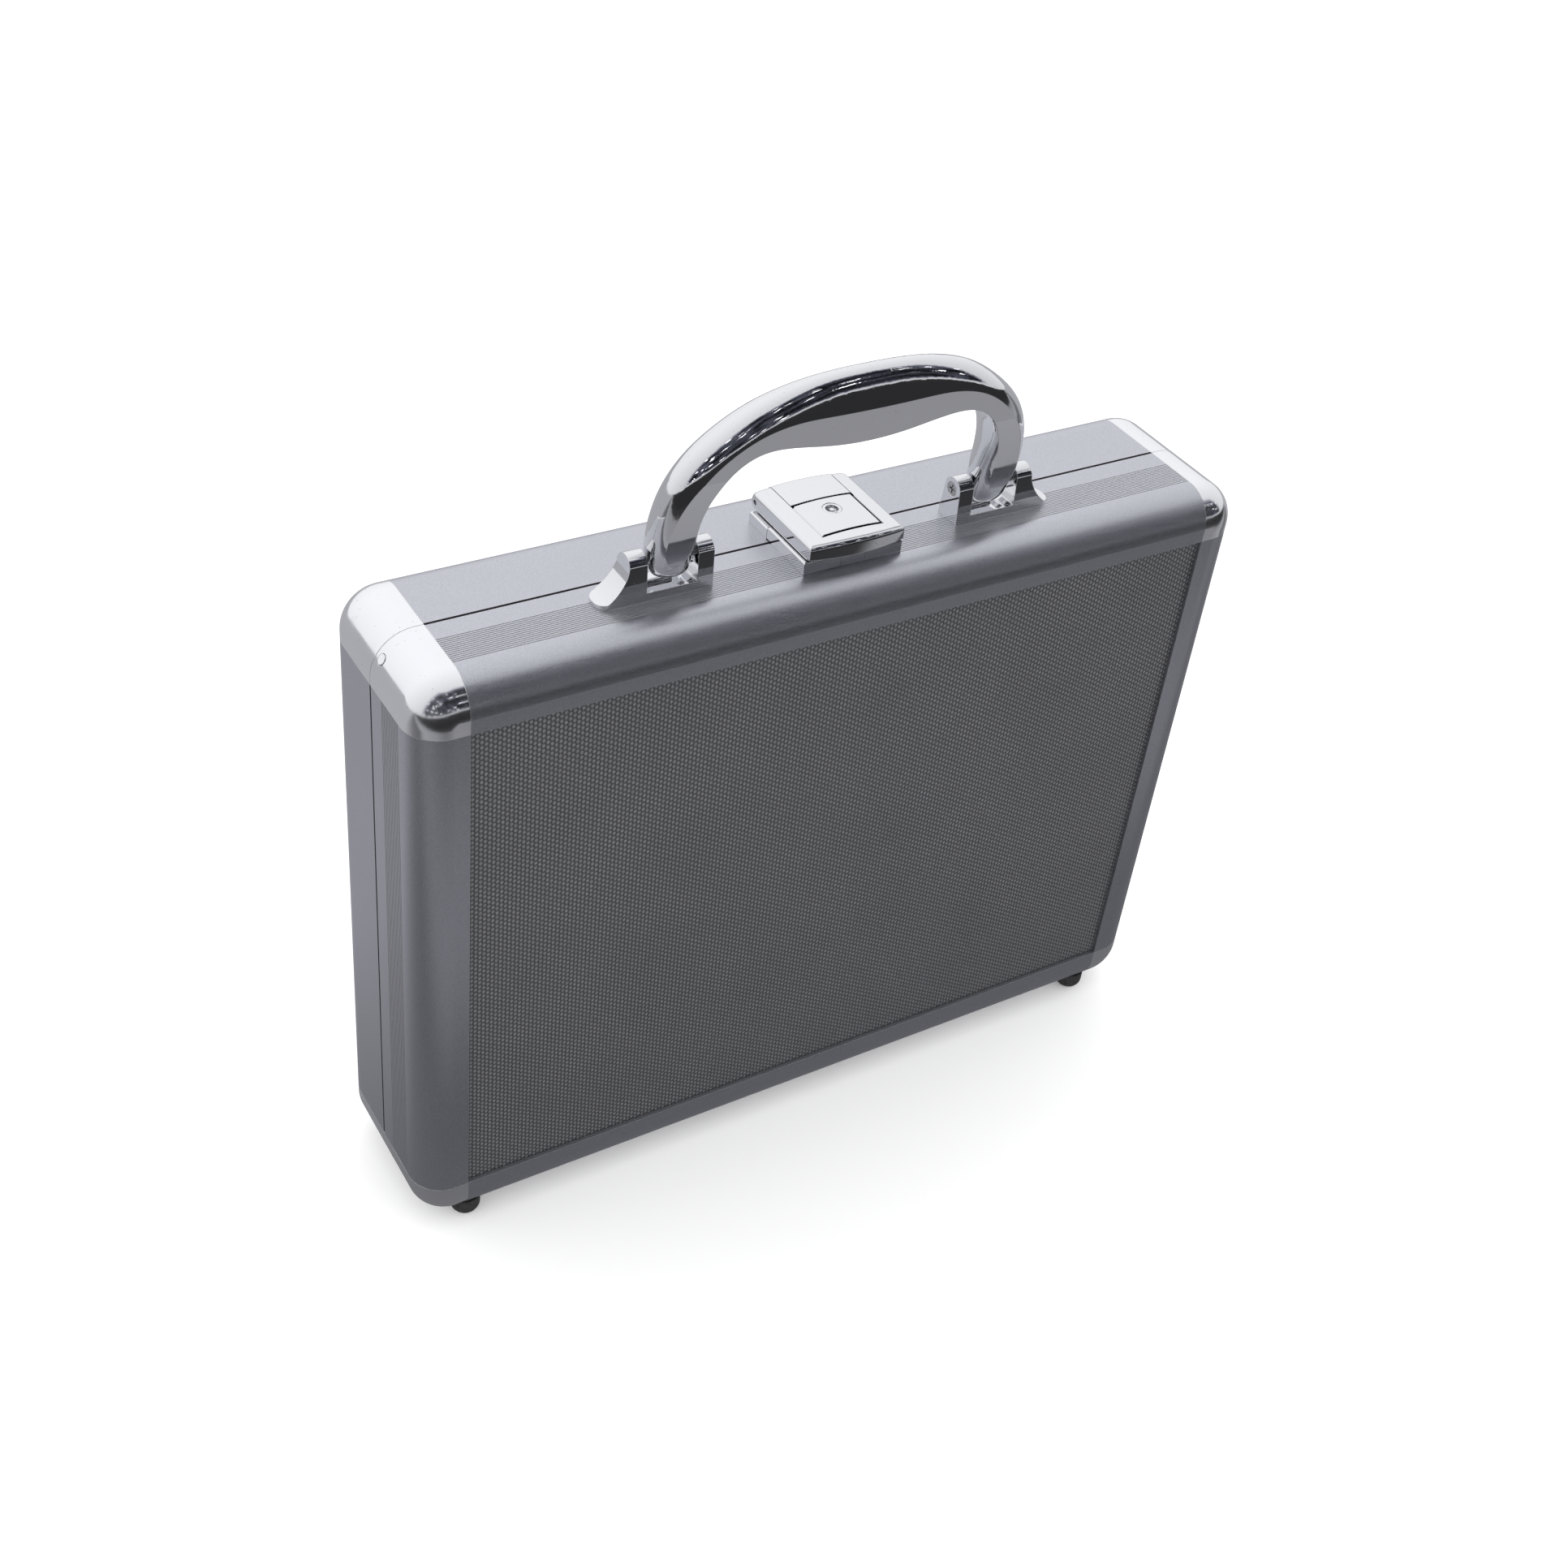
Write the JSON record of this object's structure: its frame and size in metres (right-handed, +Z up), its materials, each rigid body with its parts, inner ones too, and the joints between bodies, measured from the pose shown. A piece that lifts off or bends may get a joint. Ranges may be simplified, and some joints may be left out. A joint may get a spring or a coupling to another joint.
{
  "type": "miniature carry case",
  "caption": "Hard-sided carry case with aluminium edges, bright corners, bail handle and key latch; the rear half hinges open over foam pockets for tabletop figures.",
  "frame": {"origin": "on the floor under the middle of the case, at the bottom of its feet", "axes": "+X along the case, +Y from the handle half to the lid half, +Z up"},
  "size_m": [0.27, 0.059, 0.2678],
  "materials": {
    "satin_aluminium": "bead-blasted and anodised, satin",
    "bright_casting": "bright plated, lightly pitted",
    "textured_panel": "embossed weave, matt",
    "black_seal": "matt black",
    "black_rubber": "matt black",
    "plated_steel": "zinc plated",
    "chrome": "polished",
    "foam": "open-cell foam, charcoal"
  },
  "bodies": {
    "front_shell": {"front_frame_top": "satin_aluminium", "front_frame_bottom": "satin_aluminium", "front_frame_left": "satin_aluminium", "front_frame_right": "satin_aluminium", "front_corner_top_left": "bright_casting", "front_corner_top_right": "bright_casting", "front_corner_bottom_left": "bright_casting", "front_corner_bottom_right": "bright_casting", "front_corner_rivets": "bright_casting", "front_panel": "textured_panel", "seam_seal": "black_seal", "feet_front": "black_rubber", "hinge_leaf_front_left": "plated_steel", "hinge_leaf_front_right": "plated_steel", "hinge_pins": "plated_steel", "hinge_rivets_front": "plated_steel", "handle_bracket_right": "chrome", "handle_bracket_left": "chrome", "bracket_rivets": "plated_steel", "handle_pivot_screws": "plated_steel", "latch_base": "chrome", "latch_catch": "chrome", "latch_base_rivets": "plated_steel", "foam_base_pad": "foam", "foam_rails": "foam", "foam_dividers": "foam"},
    "rear_shell": {"rear_frame_top": "satin_aluminium", "rear_frame_bottom": "satin_aluminium", "rear_frame_left": "satin_aluminium", "rear_frame_right": "satin_aluminium", "rear_corner_top_left": "bright_casting", "rear_corner_top_right": "bright_casting", "rear_corner_bottom_left": "bright_casting", "rear_corner_bottom_right": "bright_casting", "rear_panel": "textured_panel", "feet_rear": "black_rubber", "hinge_leaf_rear_left": "plated_steel", "hinge_leaf_rear_right": "plated_steel", "hinge_rivets_rear": "plated_steel", "latch_keeper": "chrome", "latch_keeper_rivets": "plated_steel", "latch_hinge_block": "chrome", "latch_pin": "plated_steel", "lid_foam": "foam"},
    "handle": {"handle": "chrome"},
    "hasp": {"latch_cover": "chrome", "lock_plate": "chrome"},
    "lock": {"lock_cylinder": "chrome", "lock_cam": "plated_steel"}
  },
  "joints": [
    {"name": "lid_hinge", "type": "hinge", "parent": "front_shell", "child": "rear_shell", "pos_m": [0, 0, 0.003], "axis": [-1, 0, 0], "range_deg": [0, 100]},
    {"name": "handle_pivot", "type": "hinge", "parent": "front_shell", "child": "handle", "pos_m": [-0.0022, -0.0083, 0.2165], "axis": [-1, 0, 0], "range_deg": [-94, 104]},
    {"name": "hasp_pivot", "type": "hinge", "parent": "rear_shell", "child": "hasp", "pos_m": [-0.0007, 0.0108, 0.21315], "axis": [-1, 0, 0], "range_deg": [0, 90]},
    {"name": "lock_turn", "type": "hinge", "parent": "hasp", "child": "lock", "pos_m": [-0.0007, -0.005, 0.2168], "axis": [0, 0, 1], "range_deg": [0, 90]}
  ]
}
